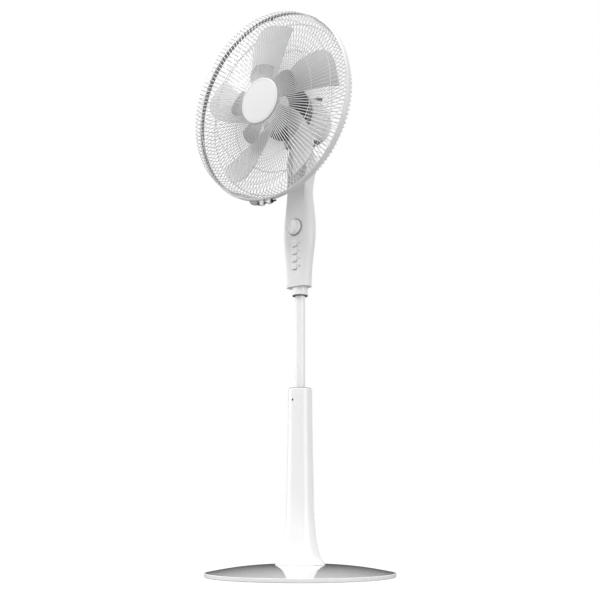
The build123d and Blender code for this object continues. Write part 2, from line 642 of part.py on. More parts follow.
def spinner():
    bore = SHAFT_R + 0.02
    seat = SHAFT_FRONT_Y - 2.1
    end = SHAFT_FRONT_Y - 0.1
    return spun((0, seat - 6.3), (8, seat - 5.8), (13, seat - 3.9), (15, seat), (bore, seat), (bore, end),
                (0, end))


# Guard: two welded wire cages, joined at the rim by a ring with a gasket, clips and a clamping screw.
# Each wire is a short run from the rim and a long one to the middle.
RIM_R = 1.4
RIM_PLACE_R = RING_R + 2.15
RING_WALL = 1.8
GASKET_T = 0.7
WIRE_PLACE_R = RING_R - WIRE_R - 0.3
FRONT_RIM_Y = RING_FRONT_Y + 4.2
REAR_RIM_Y = RING_FRONT_Y + RING_DEPTH - 3.6
FRONT_SHOULDER = (207.5, -132.0)
FRONT_CENTRE = (44.0, -139.8)
REAR_SHOULDER = (203.5, -76.0)
REAR_CENTRE = (54.0, -43.5)
HOOP_R = 0.8
FRONT_HOOPS = (187.0, 138.5)
REAR_HOOPS = (197.0, 140.5)
CLAMP_X = -12.0
LUG_IN = 5.0
LUG_OUT = 15.0
LUG_Z = AXIS_Z - RING_OUT_R - 4.4
LATCH_TURN = 192.2


def cage_wires(start, shoulder, centre):
    """Both runs of every wire, mitred where they meet at the shoulder."""
    rim_end, corner, middle = [Vector(r, y, AXIS_Z) for r, y in (start, shoulder, centre)]
    side = (corner - rim_end).normalized()
    face = (middle - corner).normalized()
    past = 2 * WIRE_R
    mitre = Plane(origin=corner, z_dir=side + face)
    side_run = split(rod(rim_end, corner + side * past, WIRE_R), bisect_by=mitre, keep=Keep.BOTTOM)
    face_run = split(rod(corner - face * past, middle, WIRE_R), bisect_by=mitre, keep=Keep.TOP)
    step = 180 / WIRE_COUNT
    return around_fan(side_run, WIRE_COUNT, step) + around_fan(face_run, WIRE_COUNT, step)


def hoop(r, y, wire_r):
    return revolve(Plane.XY.offset(AXIS_Z) * Pos(r, y) * Circle(wire_r), FAN_AXIS)


def on_face(shoulder, centre, r, off):
    """Point at a radius on the straight run of a cage's wires, set off to one side along the axis."""
    share = (shoulder[0] - r) / (shoulder[0] - centre[0])
    return r, shoulder[1] + share * (centre[1] - shoulder[1]) + off


def front_grille_wires():
    return cage_wires((WIRE_PLACE_R, FRONT_RIM_Y + 1.5), FRONT_SHOULDER, FRONT_CENTRE)


def front_grille_rims():
    step = WIRE_R + HOOP_R + 0.05
    hoops = [hoop(RIM_PLACE_R, FRONT_RIM_Y, RIM_R)]
    for r in FRONT_HOOPS:
        hoops.append(hoop(*on_face(FRONT_SHOULDER, FRONT_CENTRE, r, step), HOOP_R))
    y = FRONT_CENTRE[1]
    back = y + WIRE_R
    hoops.append(spun((0, back + 0.1), (44, back + 0.1), (48, back + 0.3), (48, back + 2), (0, back + 2)))
    return hoops


def badge():
    y = BADGE_FRONT_Y
    r = BADGE_R
    back = FRONT_CENTRE[1] - WIRE_R - 0.1
    groove = r - 5.5
    face = ThreePointArc((0, y, AXIS_Z), (groove / 2, y + 0.25, AXIS_Z), (groove, y + 0.9, AXIS_Z))
    rest = Polyline((groove, y + 0.9, AXIS_Z), (groove + 0.4, y + 1.5, AXIS_Z),
                    (groove + 1.2, y + 1.5, AXIS_Z), (groove + 1.6, y + 0.9, AXIS_Z),
                    (r - 1.2, y + 1.2, AXIS_Z), (r, back - 0.3, AXIS_Z), (r - 0.5, back, AXIS_Z),
                    (0, back, AXIS_Z), (0, y, AXIS_Z))
    return revolve(make_face([face.edge(), *rest.edges()]), FAN_AXIS)


def rear_grille_wires():
    return cage_wires((WIRE_PLACE_R, REAR_RIM_Y - 1.5), REAR_SHOULDER, REAR_CENTRE)


def rear_grille_rims():
    step = -(WIRE_R + HOOP_R + 0.05)
    hoops = [hoop(RIM_PLACE_R, REAR_RIM_Y, RIM_R)]
    for r in REAR_HOOPS:
        hoops.append(hoop(*on_face(REAR_SHOULDER, REAR_CENTRE, r, step), HOOP_R))
    y = MOTOR_FRONT_Y
    hoops.append(spun((22.3, y - 2.1), (58, y - 2.1), (58, y - 0.1), (22.3, y - 0.1)))
    return hoops


def grille_nut():
    """Wide dished nut on the motor's spigot that clamps the rear cage, with grip notches round its edge."""
    y = MOTOR_FRONT_Y
    bore = 22.05
    hub = 35.0
    rim = 64.0
    nut = spun((bore, y - 20), (rim - 3, y - 20), (rim, y - 18), (rim, y - 8), (rim - 2, y - 8),
               (rim - 4, y - 17.6), (hub, y - 17.6), (hub, y - 2.2), (bore, y - 2.2))
    grip = rod((rim + 2, y - 21, AXIS_Z), (rim + 2, y - 7, AXIS_Z), 3)
    return nut - around_fan(grip, 12)


def guard_ring():
    y = RING_FRONT_Y
    back = y + RING_DEPTH
    out = RING_OUT_R
    lip = RING_R
    wall = RING_WALL
    ring = spun((lip, y + 0.4), (lip + 0.4, y), (out - 3.4, y), (out - 1.0, y + 1.4), (out, y + 4.4),
                (out, back - 4), (out - 0.8, back - 1), (out - 2, back), (lip + 0.4, back), (lip, back - 0.4),
                (lip, back - wall), (out - wall - 0.6, back - wall), (out - wall, back - wall - 1),
                (out - wall, y + wall + 2), (out - wall - 1.4, y + wall), (lip, y + wall))
    for way in (-1, 1):
        ends = sorted((CLAMP_X + way * LUG_IN, CLAMP_X + way * LUG_OUT))
        lug = block(ends, (y + 2.5, back - 2.5), (AXIS_Z - out - 8.5, AXIS_Z - out + 4))
        ring += lug - rod((0, y, AXIS_Z), (0, back, AXIS_Z), out - wall / 2)
    ring -= block((CLAMP_X - 1.5, CLAMP_X + 1.5), (y - 1, back + 1), (AXIS_Z - out - 12, AXIS_Z - 205))
    mid = y + RING_DEPTH / 2
    return ring - rod((CLAMP_X - 20, mid, LUG_Z), (CLAMP_X + 20, mid, LUG_Z), 2.1)


def ring_gasket():
    y = RING_FRONT_Y + RING_WALL + 0.1
    back = RING_FRONT_Y + RING_DEPTH - RING_WALL - 0.1
    low = RING_R - 0.1
    band = spun((low, y), (low + GASKET_T, y), (low + GASKET_T, back), (low, back))
    return band - block((CLAMP_X - 2, CLAMP_X + 2), (y - 5, back + 5), (AXIS_Z - RING_OUT_R, AXIS_Z - 205))


def ring_screw():
    y = RING_FRONT_Y + RING_DEPTH / 2
    left = CLAMP_X - LUG_OUT - 0.1
    right = CLAMP_X + LUG_OUT + 0.1
    screw = rod((left - 3, y, LUG_Z), (right + 13, y, LUG_Z), 2.0)
    screw += rod((left - 3.4, y, LUG_Z), (left, y, LUG_Z), 4.0)
    nut = Plane(origin=(right, y, LUG_Z), z_dir=(1, 0, 0)) * RegularPolygon(4.2, 6)
    return [screw, extrude(nut, 4) - rod((right - 1, y, LUG_Z), (right + 5, y, LUG_Z), 2.01)]


def guard_clips():
    """A hook inside the ring at the top, and a latch under the ring beside the clamp."""
    y = RING_FRONT_Y
    back = y + RING_DEPTH
    low = RING_R - 6.5
    top = RING_R - 0.2
    web = RING_R - 1.8
    hook = Polyline((top, y + 3), (low, y + 1), (low, y + 3), (web, y + 5), (web, back - 5),
                    (low + 2, back - 3), (low + 2, back - 1.5), (top, back - 3), close=True)
    hook = extrude(Plane.XY.offset(AXIS_Z - 2.5) * make_face(hook), 5).rotate(FAN_AXIS, -90)
    foot = RING_OUT_R + 7.5
    root = RING_OUT_R - 1
    latch = Polyline((root, 13), (root, -11), (foot, -11), (foot, 5), (foot - 2.5, 9), close=True)
    side = Plane(origin=(0, y + 3, AXIS_Z), x_dir=(1, 0, 0), z_dir=(0, 1, 0))
    latch = extrude(side * make_face(latch), 9)
    latch -= rod((0, y, AXIS_Z), (0, back, AXIS_Z), RING_OUT_R + 0.1)
    return [hook, latch.rotate(FAN_AXIS, LATCH_TURN - 90)]


def save(name, shape):
    """Write one node; a list becomes a group of separate solids."""
    solids = []
    for piece in shape if isinstance(shape, list) else [shape]:
        solids += piece.solids()
    node = solids[0] if len(solids) == 1 else Compound(children=solids)
    export_step(node, f"parts/{name}.step")


os.makedirs("parts", exist_ok=True)
housing_front, housing_rear = housing_shells()
NODES = {
    "base_pan": base_pan(),
    "base_cover": base_cover(),
    "base_weight": base_weight(),
    "base_feet": base_feet(),
    "base_screws": base_screws(),
    "outer_tube": outer_tube(),
    "column_shell": column_shell(),
    "column_bush": column_bush(),
    "height_screw": height_screw(),
    "inner_tube": inner_tube(),
    "tube_slider": tube_slider(),
    "neck_ring": neck_ring(),
    "neck_collar": neck_collar(),
    "housing_front": housing_front,
    "housing_rear": housing_rear,
    "housing_screws": housing_screws(),
    "cord_gland": cord_gland(),
    "timer_bezel": timer_bezel(),
    "timer_knob": timer_knob(),
    "timer_body": timer_body(),
    "switch_block": switch_block(),
    "neck_fork": neck_fork(),
    "tilt_pin": tilt_pin(),
    "tilt_bracket": tilt_bracket(),
    "swivel_post": swivel_post(),
    "swing_link": swing_link(),
    "oscillation_crank": oscillation_crank(),
    "gearbox_case": gearbox_case(),
    "clutch_knob": clutch_knob(),
    "motor_bracket": motor_bracket(),
    "swivel_bush": swivel_bush(),
    "motor_front_shield": motor_shield(SHIELD_FRONT_Y, SHIELD_FRONT_Y + 8),
    "motor_rear_shield": motor_shield(SHIELD_REAR_Y, SHIELD_REAR_Y - 4),
    "motor_bearings": motor_bearings(),
    "motor_screws": motor_screws(),
    "motor_stator": motor_stator(),
    "motor_windings": motor_windings(),
    "motor_front_cover": motor_front_cover(),
    "motor_rear_cover": motor_rear_cover(),
    "motor_shaft": motor_shaft(),
    "drive_pin": drive_pin(),
    "motor_rotor": motor_rotor(),
    "impeller": impeller(),
    "inner_impeller": inner_impeller(),
    "spinner": spinner(),
    "front_grille_wires": front_grille_wires(),
    "front_grille_rims": front_grille_rims(),
    "badge": badge(),
    "rear_grille_wires": rear_grille_wires(),
    "rear_grille_rims": rear_grille_rims(),
    "grille_nut": grille_nut(),
    "guard_ring": guard_ring(),
    "ring_gasket": ring_gasket(),
    "ring_screw": ring_screw(),
    "guard_clips": guard_clips(),
}
for label, z in zip(("off", "low", "middle", "high"), BUTTON_Z):
    NODES[f"button_{label}"] = button(z)
for name, shape in NODES.items():
    save(name, shape)
print(len(NODES), "nodes")
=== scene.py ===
import math

import bmesh
import bpy
from mathutils import Matrix, Vector
from mathutils.bvhtree import BVHTree


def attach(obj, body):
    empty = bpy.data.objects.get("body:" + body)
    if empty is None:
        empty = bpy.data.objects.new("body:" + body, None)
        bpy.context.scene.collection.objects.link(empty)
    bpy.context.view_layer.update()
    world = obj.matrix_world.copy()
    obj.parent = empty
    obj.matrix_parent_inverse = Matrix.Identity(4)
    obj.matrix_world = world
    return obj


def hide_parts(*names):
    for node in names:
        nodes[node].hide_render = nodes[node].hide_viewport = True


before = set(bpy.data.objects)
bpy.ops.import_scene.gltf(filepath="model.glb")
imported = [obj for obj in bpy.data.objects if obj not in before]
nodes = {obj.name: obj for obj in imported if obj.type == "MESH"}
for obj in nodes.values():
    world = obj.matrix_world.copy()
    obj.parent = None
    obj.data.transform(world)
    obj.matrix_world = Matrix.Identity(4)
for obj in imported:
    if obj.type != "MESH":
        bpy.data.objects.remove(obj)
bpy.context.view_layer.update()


# Photograph's view. The camera stands low, to the right of the fan's front, and looks up along the stand.
# Its lens and place were fitted to the outlines of the base, the tube and the guard.
CAMERA_PLACE = (1.352, -1.670, 0.1335)
CAMERA_TURN = (math.radians(102.0), 0.0, math.radians(39.0))
CAMERA_LENS = 59.7
SENSOR = 36.0

view_data = bpy.data.cameras.new("photo_view")
view_data.lens = CAMERA_LENS
view_data.sensor_width = SENSOR
view = bpy.data.objects.new("photo_view", view_data)
view.location = CAMERA_PLACE
view.rotation_euler = CAMERA_TURN
bpy.context.scene.collection.objects.link(view)
bpy.context.scene.camera = view
bpy.context.scene.view_settings.view_transform = "Standard"


# Studio. A pale floor that runs out into a white background, one large soft lamp high in front of the fan and
# a weaker one on each side, under a sky that darkens upwards. Polished surfaces also mirror a narrow black
# screen that stands far behind the fan.
SKY_LOW = (0.86, 0.86, 0.86, 1.0)
SKY_HIGH = (0.55, 0.55, 0.55, 1.0)
SKY_LOW_Z = -0.1
SKY_HIGH_Z = 0.9
MIRRORED = (1.0, 1.0, 1.0, 1.0)
SCREEN = (0.07, 0.07, 0.072, 1.0)
SCREEN_WAY = (-0.629, 0.777, 0.0)
SCREEN_EDGE = 0.93
SCREEN_FULL = 0.975
SCREEN_TOP_Z = (0.5, 0.7)
WHITE = (1.0, 1.0, 1.0, 1.0)
FLOOR_HALF = 30.0
FLOOR_COLOR = (0.3, 0.3, 0.3, 1.0)
FLOOR_MIRRORED = (0.35, 0.35, 0.35, 1.0)
FLOOR_SHADOW = 0.3
FLOOR_GLOW = 1.45
LAMPS = {
    "key_lamp": {"place": (-0.4, -2.9, 4.9), "aim": (0.0, 0.0, 0.75), "size": 3.0, "watts": 220.0},
    "side_lamp": {"place": (3.6, 0.0, 0.9), "aim": (0.0, 0.0, 0.5), "size": 2.0, "watts": 42.0},
    "left_lamp": {"place": (-3.2, -1.2, 1.1), "aim": (0.0, 0.0, 0.6), "size": 2.0, "watts": 26.0},
}


def add_node(tree, kind, **settings):
    """Adds one shader node; settings are its own properties."""
    node = tree.nodes.new(kind)
    for key, value in settings.items():
        setattr(node, key, value)
    return node


def preset(node, **values):
    """Sets input sockets of a shader node; an underscore in a name stands for a space."""
    for key, value in values.items():
        node.inputs[key.replace("_", " ")].default_value = value
    return node


def studio_world():
    world = bpy.data.worlds.new("studio")
    world.use_nodes = True
    tree = world.node_tree
    tree.nodes.clear()
    link = tree.links.new
    rays = add_node(tree, "ShaderNodeLightPath")
    coordinates = add_node(tree, "ShaderNodeTexCoord")
    parts = add_node(tree, "ShaderNodeSeparateXYZ")
    rise = preset(add_node(tree, "ShaderNodeMapRange"), From_Min=SKY_LOW_Z, From_Max=SKY_HIGH_Z)
    sky = preset(add_node(tree, "ShaderNodeMix", data_type="RGBA"), A=SKY_LOW, B=SKY_HIGH)
    flat = add_node(tree, "ShaderNodeCombineXYZ")
    heading = add_node(tree, "ShaderNodeVectorMath", operation="NORMALIZE")
    facing = add_node(tree, "ShaderNodeVectorMath", operation="DOT_PRODUCT")
    facing.inputs[1].default_value = SCREEN_WAY
    beside = preset(add_node(tree, "ShaderNodeMapRange"), From_Min=SCREEN_EDGE, From_Max=SCREEN_FULL)
    above = preset(add_node(tree, "ShaderNodeMapRange"), From_Min=SCREEN_TOP_Z[0], From_Max=SCREEN_TOP_Z[1],
                   To_Min=1.0, To_Max=0.0)
    covered = add_node(tree, "ShaderNodeMath", operation="MULTIPLY")
    set_look = preset(add_node(tree, "ShaderNodeMix", data_type="RGBA"), A=MIRRORED, B=SCREEN)
    backdrop = preset(add_node(tree, "ShaderNodeBackground"), Color=WHITE)
    mirrored = add_node(tree, "ShaderNodeBackground")
    soft = add_node(tree, "ShaderNodeBackground")
    gloss = add_node(tree, "ShaderNodeMixShader")
    seen = add_node(tree, "ShaderNodeMixShader")
    out = add_node(tree, "ShaderNodeOutputWorld")
    link(coordinates.outputs["Generated"], parts.inputs["Vector"])
    link(parts.outputs["Z"], rise.inputs["Value"])
    link(rise.outputs["Result"], sky.inputs["Factor"])
    link(sky.outputs["Result"], soft.inputs["Color"])
    link(parts.outputs["X"], flat.inputs["X"])
    link(parts.outputs["Y"], flat.inputs["Y"])
    link(flat.outputs["Vector"], heading.inputs[0])
    link(heading.outputs["Vector"], facing.inputs[0])
    link(facing.outputs["Value"], beside.inputs["Value"])
    link(parts.outputs["Z"], above.inputs["Value"])
    link(beside.outputs["Result"], covered.inputs[0])
    link(above.outputs["Result"], covered.inputs[1])
    link(covered.outputs["Value"], set_look.inputs["Factor"])
    link(set_look.outputs["Result"], mirrored.inputs["Color"])
    link(rays.outputs["Is Glossy Ray"], gloss.inputs["Fac"])
    link(soft.outputs["Background"], gloss.inputs[1])
    link(mirrored.outputs["Background"], gloss.inputs[2])
    link(rays.outputs["Is Camera Ray"], seen.inputs["Fac"])
    link(gloss.outputs["Shader"], seen.inputs[1])
    link(backdrop.outputs["Background"], seen.inputs[2])
    link(seen.outputs["Shader"], out.inputs["Surface"])
    return world


def floor_paper():
    paper = bpy.data.materials.new("floor_paper")
    paper.use_nodes = True
    tree = paper.node_tree
    tree.nodes.clear()
    link = tree.links.new
    rays = add_node(tree, "ShaderNodeLightPath")
    lit = preset(add_node(tree, "ShaderNodeBsdfDiffuse"), Color=FLOOR_COLOR)
    white = preset(add_node(tree, "ShaderNodeEmission"), Color=WHITE, Strength=FLOOR_GLOW)
    dim = preset(add_node(tree, "ShaderNodeEmission"), Color=FLOOR_MIRRORED)
    shaded = preset(add_node(tree, "ShaderNodeMixShader"), Fac=FLOOR_SHADOW)
    gloss = add_node(tree, "ShaderNodeMixShader")
    seen = add_node(tree, "ShaderNodeMixShader")
    out = add_node(tree, "ShaderNodeOutputMaterial")
    link(white.outputs["Emission"], shaded.inputs[1])
    link(lit.outputs["BSDF"], shaded.inputs[2])
    link(rays.outputs["Is Glossy Ray"], gloss.inputs["Fac"])
    link(lit.outputs["BSDF"], gloss.inputs[1])
    link(dim.outputs["Emission"], gloss.inputs[2])
    link(rays.outputs["Is Camera Ray"], seen.inputs["Fac"])
    link(gloss.outputs["Shader"], seen.inputs[1])
    link(shaded.outputs["Shader"], seen.inputs[2])
    link(seen.outputs["Shader"], out.inputs["Surface"])
    return paper


bpy.context.scene.world = studio_world()
sheet = bmesh.new()
bmesh.ops.create_grid(sheet, x_segments=1, y_segments=1, size=FLOOR_HALF)
floor_mesh = bpy.data.meshes.new("studio_floor")
sheet.to_mesh(floor_mesh)
sheet.free()
floor = bpy.data.objects.new("studio_floor", floor_mesh)
floor.data.materials.append(floor_paper())
bpy.context.scene.collection.objects.link(floor)
for lamp_name, lamp in LAMPS.items():
    lamp_data = bpy.data.lights.new(lamp_name, "AREA")
    lamp_data.size = lamp["size"]
    lamp_data.energy = lamp["watts"]
    lamp_object = bpy.data.objects.new(lamp_name, lamp_data)
    lamp_object.location = lamp["place"]
    aim = Vector(lamp["aim"]) - Vector(lamp["place"])
    lamp_object.rotation_euler = aim.to_track_quat("-Z", "Y").to_euler()
    bpy.context.scene.collection.objects.link(lamp_object)


# Base pan. The white tray under the stand, injection moulded, with a low rim that the cover drops into.
# Its skin has the even gloss of moulded plastic, with faint clouding and a grain too fine to see from afar.
PAN_LIGHT = (0.86, 0.86, 0.86, 1.0)
PAN_DARK = (0.84, 0.84, 0.845, 1.0)
PAN_GLOSS = (0.25, 0.28)
FINE_GRAIN = (1500.0, 0.00001)


def new_group(name, inputs, outputs):
    """Empty shader group with named sockets; returns it with its input and output nodes."""
    kinds = {"color": "NodeSocketColor", "value": "NodeSocketFloat", "vector": "NodeSocketVector"}
    group = bpy.data.node_groups.new(name, "ShaderNodeTree")
    for label, kind in inputs.items():
        group.interface.new_socket(label, in_out="INPUT", socket_type=kinds[kind])
    for label, kind in outputs.items():
        group.interface.new_socket(label, in_out="OUTPUT", socket_type=kinds[kind])
    return group, add_node(group, "NodeGroupInput"), add_node(group, "NodeGroupOutput")


SKIN_OUTPUTS = {"Color": "color", "Roughness": "value", "Normal": "vector"}


def moulded_skin():
    """Skin of a moulded piece: faint clouding of the colour, uneven gloss and a fine grain."""
    group, given, out = new_group(
        "moulded_skin",
        {"Light": "color", "Dark": "color", "Cloud scale": "value", "Grain scale": "value",
         "Grain depth": "value", "Gloss low": "value", "Gloss high": "value"},
        SKIN_OUTPUTS)
    link = group.links.new
    place = add_node(group, "ShaderNodeTexCoord")
    cloud = preset(add_node(group, "ShaderNodeTexNoise"), Detail=3.0)
    grain = preset(add_node(group, "ShaderNodeTexNoise"), Detail=2.0)
    tint = add_node(group, "ShaderNodeMix", data_type="RGBA")
    gloss = preset(add_node(group, "ShaderNodeMapRange"), From_Min=0.3, From_Max=0.7)
    bump = preset(add_node(group, "ShaderNodeBump"), Strength=0.6)
    link(place.outputs["Object"], cloud.inputs["Vector"])
    link(place.outputs["Object"], grain.inputs["Vector"])
    link(given.outputs["Cloud scale"], cloud.inputs["Scale"])
    link(given.outputs["Grain scale"], grain.inputs["Scale"])
    link(cloud.outputs["Fac"], tint.inputs["Factor"])
    link(given.outputs["Light"], tint.inputs["A"])
    link(given.outputs["Dark"], tint.inputs["B"])
    link(cloud.outputs["Fac"], gloss.inputs["Value"])
    link(given.outputs["Gloss low"], gloss.inputs["To Min"])
    link(given.outputs["Gloss high"], gloss.inputs["To Max"])
    link(grain.outputs["Fac"], bump.inputs["Height"])
    link(given.outputs["Grain depth"], bump.inputs["Distance"])
    link(tint.outputs["Result"], out.inputs["Color"])
    link(gloss.outputs["Result"], out.inputs["Roughness"])
    link(bump.outputs["Normal"], out.inputs["Normal"])
    return group


MOULDED_SKIN = moulded_skin()


def skinned(name, group, fixed):
    """Material whose colour, gloss and normal come from a skin group; fixed holds the shader's own values."""
    material = bpy.data.materials.new(name)
    material.use_nodes = True
    tree = material.node_tree
    shader = tree.nodes["Principled BSDF"]
    skin = add_node(tree, "ShaderNodeGroup", node_tree=group)
    tree.links.new(skin.outputs["Color"], shader.inputs["Base Color"])
    tree.links.new(skin.outputs["Roughness"], shader.inputs["Roughness"])
    tree.links.new(skin.outputs["Normal"], shader.inputs["Normal"])
    preset(shader, **fixed)
    return material, skin


def moulded(name, light, dark, gloss, grain=FINE_GRAIN, cloud=9.0, **fixed):
    """Moulded plastic: gloss is its lowest and highest roughness, grain its scale and depth."""
    material, skin = skinned(name, MOULDED_SKIN, fixed)
    preset(skin, Light=light, Dark=dark, Cloud_scale=cloud, Grain_scale=grain[0], Grain_depth=grain[1],
           Gloss_low=gloss[0], Gloss_high=gloss[1])
    return material


def dress(material, *names):
    """Gives CAD pieces their finish."""
    for name in names:
        finish = nodes[name].data.materials
        finish.clear()
        finish.append(material)


white_shell = moulded("white_shell", PAN_LIGHT, PAN_DARK, PAN_GLOSS, Coat_Weight=0.25, Coat_Roughness=0.12)
dress(white_shell, "base_pan")


# Base cover. The domed lid of the base, white plastic with a polished face that mirrors the room.
# It is pressed into the pan's rim and held down by the foot of the column.
COVER_LIGHT = (0.81, 0.81, 0.815, 1.0)
COVER_DARK = (0.79, 0.79, 0.795, 1.0)
COVER_GLOSS = (0.04, 0.07)

base_polish = moulded("base_polish", COVER_LIGHT, COVER_DARK, COVER_GLOSS, cloud=4.0,
                      IOR=1.6, Coat_Weight=1.0, Coat_Roughness=0.02, Coat_IOR=1.6)
dress(base_polish, "base_cover")


# Underside of the base. A cast ballast ring lies in the pan, rubber feet are pressed into its floor, and
# bright screws go up into the flange of the column's tube.
BALLAST_LIGHT = (0.2, 0.2, 0.205, 1.0)
BALLAST_DARK = (0.1, 0.1, 0.1, 1.0)
RUBBER_LIGHT = (0.045, 0.045, 0.047, 1.0)
RUBBER_DARK = (0.028, 0.028, 0.03, 1.0)
STEEL_LIGHT = (0.62, 0.62, 0.63, 1.0)
STEEL_DARK = (0.46, 0.46, 0.47, 1.0)


def drawn_metal_skin():
    """Skin of drawn or brushed metal: long streaks in colour and gloss along one direction."""
    group, given, out = new_group(
        "drawn_metal_skin",
        {"Light": "color", "Dark": "color", "Stretch": "vector", "Depth": "value",
         "Gloss low": "value", "Gloss high": "value"},
        SKIN_OUTPUTS)
    link = group.links.new
    place = add_node(group, "ShaderNodeTexCoord")
    stretch = add_node(group, "ShaderNodeVectorMath", operation="MULTIPLY")
    streak = preset(add_node(group, "ShaderNodeTexNoise"), Scale=1.0, Detail=4.0)
    tint = add_node(group, "ShaderNodeMix", data_type="RGBA")
    gloss = preset(add_node(group, "ShaderNodeMapRange"), From_Min=0.3, From_Max=0.7)
    bump = preset(add_node(group, "ShaderNodeBump"), Strength=0.5)
    link(place.outputs["Object"], stretch.inputs[0])
    link(given.outputs["Stretch"], stretch.inputs[1])
    link(stretch.outputs["Vector"], streak.inputs["Vector"])
    link(streak.outputs["Fac"], tint.inputs["Factor"])
    link(given.outputs["Light"], tint.inputs["A"])
    link(given.outputs["Dark"], tint.inputs["B"])
    link(streak.outputs["Fac"], gloss.inputs["Value"])
    link(given.outputs["Gloss low"], gloss.inputs["To Min"])
    link(given.outputs["Gloss high"], gloss.inputs["To Max"])
    link(streak.outputs["Fac"], bump.inputs["Height"])
    link(given.outputs["Depth"], bump.inputs["Distance"])
    link(tint.outputs["Result"], out.inputs["Color"])
    link(gloss.outputs["Result"], out.inputs["Roughness"])
    link(bump.outputs["Normal"], out.inputs["Normal"])
    return group


DRAWN_METAL_SKIN = drawn_metal_skin()


def drawn_metal(name, light, dark, gloss, stretch, depth=0.00001, **fixed):
    """Bare metal with streaks; stretch is the streaks' density along x, y and z."""
    material, skin = skinned(name, DRAWN_METAL_SKIN, {"Metallic": 1.0, **fixed})
    preset(skin, Light=light, Dark=dark, Stretch=stretch, Depth=depth,
           Gloss_low=gloss[0], Gloss_high=gloss[1])
    return material


cast_ballast = moulded("cast_ballast", BALLAST_LIGHT, BALLAST_DARK, gloss=(0.6, 0.85),
                       grain=(420.0, 0.0004), cloud=60.0)
foot_rubber = moulded("foot_rubber", RUBBER_LIGHT, RUBBER_DARK, gloss=(0.65, 0.85),
                      grain=(900.0, 0.00008), cloud=40.0)
bright_steel = drawn_metal("bright_steel", STEEL_LIGHT, STEEL_DARK, gloss=(0.22, 0.42),
                           stretch=(900.0, 900.0, 60.0))
dress(cast_ballast, "base_weight")
dress(foot_rubber, "base_feet")
dress(bright_steel, "base_screws")


# Column. A trumpet-shaped white shell over a steel tube, with a dark bush at its mouth that guides the
# sliding tube and a black grub screw that locks the height.
BUSH_LIGHT = (0.05, 0.05, 0.052, 1.0)
BUSH_DARK = (0.035, 0.035, 0.037, 1.0)
BLACK_LIGHT = (0.03, 0.03, 0.032, 1.0)
BLACK_DARK = (0.015, 0.015, 0.016, 1.0)

# Also used on the oscillation drive's pull knob, whose dark is painted shade for the shadow under its cap.
dark_plastic = moulded("dark_plastic", BUSH_LIGHT, BUSH_DARK, gloss=(0.42, 0.58),
                       grain=(1100.0, 0.00004), cloud=30.0)
black_steel = moulded("black_steel", BLACK_LIGHT, BLACK_DARK, gloss=(0.32, 0.5),
                      grain=(1300.0, 0.00003), cloud=80.0)
tube_steel = drawn_metal("tube_steel", STEEL_LIGHT, STEEL_DARK, gloss=(0.25, 0.45),
                         stretch=(500.0, 500.0, 12.0))
dress(white_shell, "column_shell")
dress(dark_plastic, "column_bush")
dress(black_steel, "height_screw")
dress(tube_steel, "outer_tube")


# Sliding tube. Steel tube in white powder paint, with a plastic slider at its hidden lower end and a dark
# grey ring under the white collar that carries the control housing.
PAINT_LIGHT = (0.86, 0.86, 0.86, 1.0)
PAINT_DARK = (0.845, 0.845, 0.845, 1.0)
NECK_LIGHT = (0.13, 0.13, 0.135, 1.0)
NECK_DARK = (0.1, 0.1, 0.105, 1.0)

tube_paint = moulded("tube_paint", PAINT_LIGHT, PAINT_DARK, gloss=(0.28, 0.31),
                     grain=(700.0, 0.00001), cloud=25.0, Coat_Weight=0.3, Coat_Roughness=0.15)
neck_rubber = moulded("neck_rubber", NECK_LIGHT, NECK_DARK, gloss=(0.45, 0.6),
                      grain=(1100.0, 0.00004), cloud=30.0)
dress(tube_paint, "inner_tube")
dress(dark_plastic, "tube_slider")
dress(neck_rubber, "neck_ring")
dress(white_shell, "neck_collar")


# Control housing. Two satin white shells screwed together from behind, with a gland for the lead low in
# the rear one. Inside are the timer's works and the switch block.
HOUSING_LIGHT = (0.8, 0.8, 0.8, 1.0)
HOUSING_DARK = (0.77, 0.77, 0.775, 1.0)

housing_plastic = moulded("housing_plastic", HOUSING_LIGHT, HOUSING_DARK, gloss=(0.3, 0.4),
                          grain=(1400.0, 0.000015), cloud=8.0)
dress(housing_plastic, "housing_front", "housing_rear")
dress(bright_steel, "housing_screws")
dress(dark_plastic, "cord_gland", "timer_body", "switch_block")


# Timer knob. A round knob with a raised grip across it, turning in a raised ring on the housing's front.
# Four keys stand in a row below it, each sprung on the switch block.
KNOB_LIGHT = (0.83, 0.83, 0.83, 1.0)
KNOB_DARK = (0.8, 0.8, 0.805, 1.0)
# The raised ring is dark grey as painted shade: it stands in for the shadow in the groove round the knob.
BEZEL_PAINTED_SHADE_LIGHT = (0.34, 0.34, 0.345, 1.0)
BEZEL_PAINTED_SHADE_DARK = (0.3, 0.3, 0.305, 1.0)

bezel_painted_shade = moulded("bezel_painted_shade", BEZEL_PAINTED_SHADE_LIGHT, BEZEL_PAINTED_SHADE_DARK, gloss=(0.35, 0.45), cloud=30.0)
control_plastic = moulded("control_plastic", KNOB_LIGHT, KNOB_DARK, gloss=(0.26, 0.36), cloud=30.0)
dress(bezel_painted_shade, "timer_bezel")
dress(control_plastic, "timer_knob", "button_off", "button_low", "button_middle", "button_high")


